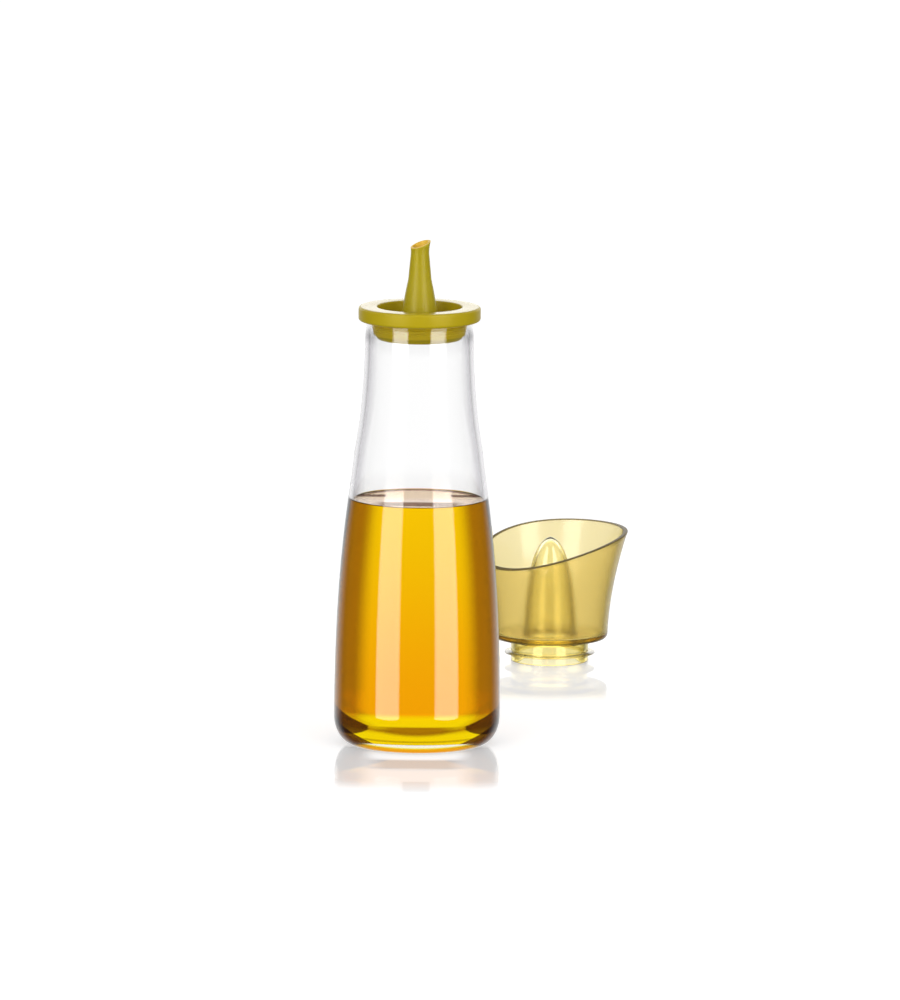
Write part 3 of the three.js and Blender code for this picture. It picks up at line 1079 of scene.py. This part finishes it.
inside = cup_side(cup_wall)
cup_floor_top = cup_foot + cup_floor
inner_start = cup_floor_top + cup_inner_round
cup_inner_foot = radius_at(inside, inner_start)
cup_hole = cone_radius + nesting_gap
outline = [(cup_hole, cup_foot), (cup_foot_radius - cup_round, cup_foot)]
outline += rounded(
    outline[-1], (cup_foot_radius, cup_foot), (cup_foot_radius, cup_foot + cup_round), 2 * edge_steps,
)
cup_top = cup_foot + cup_blank_height
outline += cup_side(0)[1:-1]
outline.append((cup_blank_radius, cup_top - rim_ease))
outline += rounded(
    outline[-1], (cup_blank_radius, cup_top), (cup_blank_radius - rim_ease, cup_top), edge_steps,
)
rim_bore = cup_blank_radius - cup_wall
outline.append((rim_bore + rim_ease, cup_top))
outline += rounded(outline[-1], (rim_bore, cup_top), (rim_bore, cup_top - rim_ease), edge_steps)
outline += [p for p in reversed(inside[:-1]) if p[1] > inner_start]
outline.append((cup_inner_foot, inner_start))
outline += rounded(
    outline[-1], (cup_inner_foot, cup_floor_top),
    (cup_inner_foot - cup_inner_round, cup_floor_top), 2 * edge_steps,
)
outline += [(cup_hole, cup_floor_top), outline[0]]
cup = turned("cap_cup_flared", outline, cup_sides, cap_right, cap_back)


def cup_rim(across, along):
    """Height of the cup's mouth at a place beside its axis."""
    toward = across * math.cos(rim_turn) + along * math.sin(rim_turn)
    share = toward / (cup_blank_radius + 1)
    return cup_foot + mouth_height + mouth_rise * share - mouth_bow * share ** 2


slant(cup, cap_right, cap_back, cup_foot + cup_round, cup_top, cup_side(0), cup_rim)

collar_blend = 1
cup_foot_line = 0.6
rim_edge = 0.35
cap_depth = (0.93, 0.80, 0.0, 1.0)
cup_tint = (1.0, 0.90, 0.60, 1.0)
cone_tint = (1.0, 0.985, 0.80, 1.0)
collar_tint = (1.0, 0.93, 0.60, 1.0)
# Painted shade at the cap's outline.
cap_edge_painted_shade = (0.50, 0.42, 0.13, 1.0)
# Painted shade on the cup's rim.
cap_rim_painted_shade = (0.20, 0.14, 0.03, 1.0)
# Painted shade where the cup's wall turns into its foot.
cup_foot_painted_shade = (0.42, 0.36, 0.12, 1.0)
cap_haze_colour = (0.92, 0.78, 0.30, 1.0)
# Dark matt share of the rim's painted shade.
rim_matt_painted_shade = (0.16, 0.11, 0.02, 1.0)
rim_matt_share = 0.6


def tinted_plastic(name, tint_with_painted_shading, index, roughness, density, haze, edge=(0.65, 0.95)):
    """Clear plastic coloured at its surface and by its depth, with a share of matt haze.

    It is yellower in the collar, with painted shade at its outline, and on the cup also painted shade
    where the wall turns into its foot and on the rim, where part of it is a dark matt share.
    """
    made, start = new_material(name)
    height = coordinate(start, "Z")
    rim = start.add("ShaderNodeAttribute", {"attribute_name": "rim"}, None, "Fac")
    outer = start.add("ShaderNodeAttribute", {"attribute_name": "outer"}, None, "Fac")
    above_collar = ramp(start, height, (cup_foot - collar_blend) * millimetre, cup_foot * millimetre)
    near_foot = outer * fade(
        start, height, (cup_foot + cup_foot_line) * millimetre, (cup_foot + cup_round) * millimetre,
    )
    tint_with_painted_shading = blended(start, above_collar, collar_tint, tint_with_painted_shading)
    # Painted shade at the outline.
    tint_with_painted_shading = blended(start, ramp(start, facing_away(start), *edge), tint_with_painted_shading, cap_edge_painted_shade)
    # Painted shade near the cup's foot.
    tint_with_painted_shading = blended(start, near_foot, tint_with_painted_shading, cup_foot_painted_shade)
    # Painted shade on the rim.
    tint_with_painted_shading = blended(start, rim, tint_with_painted_shading, cap_rim_painted_shade)
    hazy = start.add("ShaderNodeBsdfPrincipled", None, {
        "Base Color": cap_haze_colour, "Roughness": 0.5,
    })
    # Dark matt share that paints shade on the rim.
    matt_rim = start.add("ShaderNodeBsdfDiffuse", None, {"Color": rim_matt_painted_shade})
    clear = mixed(start, haze, clear_surface(start, index, tint_with_painted_shading, roughness), hazy)
    start.add("ShaderNodeOutputMaterial", None, {
        "Surface": mixed(start, rim * rim_matt_share, clear, matt_rim),
        "Volume": start.add("ShaderNodeVolumeAbsorption", None, {
            "Color": cap_depth, "Density": density,
        }),
    })
    return made


rim = cup.data.attributes.new("rim", "FLOAT", "FACE")
outer = cup.data.attributes.new("outer", "FLOAT", "FACE")
for face in cup.data.polygons:
    across = face.center.x / millimetre - cap_right
    along = face.center.y / millimetre - cap_back
    on_rim = face.center.z / millimetre > cup_rim(across, along) - rim_edge
    rim.data[face.index].value = 1.0 if on_rim else 0.0
    radial = face.normal.x * across + face.normal.y * along
    outer.data[face.index].value = 1.0 if radial > 0 else 0.0
cup.data.materials.append(tinted_plastic(
    "cap_hazy_plastic", cup_tint, index=1.46, roughness=0.2, density=130.0, haze=0.06,
))
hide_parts("cap_cup")
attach(cup, "cap")

# Cap cone. Clear, glossy and tinted like the cup: a hollow cone that covers the spout, moulded in
# one with its flange and with the collar that drops into the pourer's recess.
collar_clearance = 0.33
collar_wall = 1.5
collar_round = 0.3
cone_headroom = 14.65
cone_wall = 1.4
cone_flange = 1.6
cone_lower_shares = {"radius": 0.907, "height": 0.482}
cone_upper_shares = {"radius": 0.74, "height": 0.952}
groove_depth = 0.8
groove_height = 2.2
groove_foot_share = 0.28
cone_steps = 24

collar_radius = recess_foot_radius - collar_clearance
collar_bore = collar_radius - collar_wall
cone_top = spout_height - collar_foot_gap + cone_headroom
groove_foot = cup_foot * groove_foot_share
groove_top = groove_foot + groove_height
groove_radius = collar_radius - groove_depth
flange_underside = cup_foot - cone_flange


def ogive(radius, foot, top):
    """Curve of the cone from its foot to its point."""
    rise = top - foot
    return [(radius, foot)] + curve(
        (radius, foot),
        (radius * cone_lower_shares["radius"], foot + rise * cone_lower_shares["height"]),
        (radius * cone_upper_shares["radius"], foot + rise * cone_upper_shares["height"]),
        (0, top),
        cone_steps,
    )


outline = list(reversed(ogive(cone_radius - cone_wall, flange_underside, cone_top - cone_wall)))
outline.append((collar_bore, flange_underside))
outline.append((collar_bore, collar_round))
outline += rounded(outline[-1], (collar_bore, 0), (collar_bore + collar_round, 0), edge_steps)
outline.append((collar_radius - collar_round, 0))
outline += rounded(outline[-1], (collar_radius, 0), (collar_radius, collar_round), edge_steps)
outline += [
    (collar_radius, groove_foot),
    (groove_radius, groove_foot),
    (groove_radius, groove_top),
    (collar_radius, groove_top),
    (collar_radius, cup_foot),
]
outline += ogive(cone_radius, cup_foot, cone_top)
cone = turned("cap_cone_and_collar", outline, ring_sides, cap_right, cap_back)
cone.data.materials.append(tinted_plastic(
    "cap_clear_plastic", cone_tint, index=1.49, roughness=0.03, density=50.0, haze=0.01,
    edge=(0.3, 0.65),
))
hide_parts("cap_cone")
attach(cone, "cap")

# Cap seal. Thin silicone ring in the collar's groove, whose drooping lip wipes the recess wall
# when the cap is on.
lip_reach = 2.5
lip_thickness = 0.6
lip_droop = 0.3
lip_nose = 0.1

lip_bore = groove_radius + nesting_gap
lip_foot = groove_foot + nesting_gap
lip_top = groove_top - nesting_gap
lip_middle = (lip_foot + lip_top) / 2
lip_tip = collar_radius + lip_reach
tip_foot = lip_middle - lip_thickness / 2 - lip_droop + lip_thickness / 3
tip_top = lip_middle - lip_droop + lip_thickness / 3
outline = [
    (lip_bore, lip_foot),
    (collar_radius, lip_foot),
    (collar_radius, lip_middle - lip_thickness / 2),
    (lip_tip - lip_nose, tip_foot),
]
outline += rounded(outline[-1], (lip_tip, tip_foot), (lip_tip, (tip_foot + tip_top) / 2), edge_steps)
outline += rounded(outline[-1], (lip_tip, tip_top), (lip_tip - lip_nose, tip_top), edge_steps)
outline += [
    (collar_radius, lip_middle + lip_thickness / 2),
    (collar_radius, lip_top),
    (lip_bore, lip_top),
    outline[0],
]
lip = turned("cap_seal_lip", outline, ring_sides, cap_right, cap_back)
lip.data.materials.append(tinted_plastic(
    "lip_silicone_clear", cone_tint, index=1.41, roughness=0.15, density=80.0, haze=0.03,
))
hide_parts("cap_seal")
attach(lip, "cap")
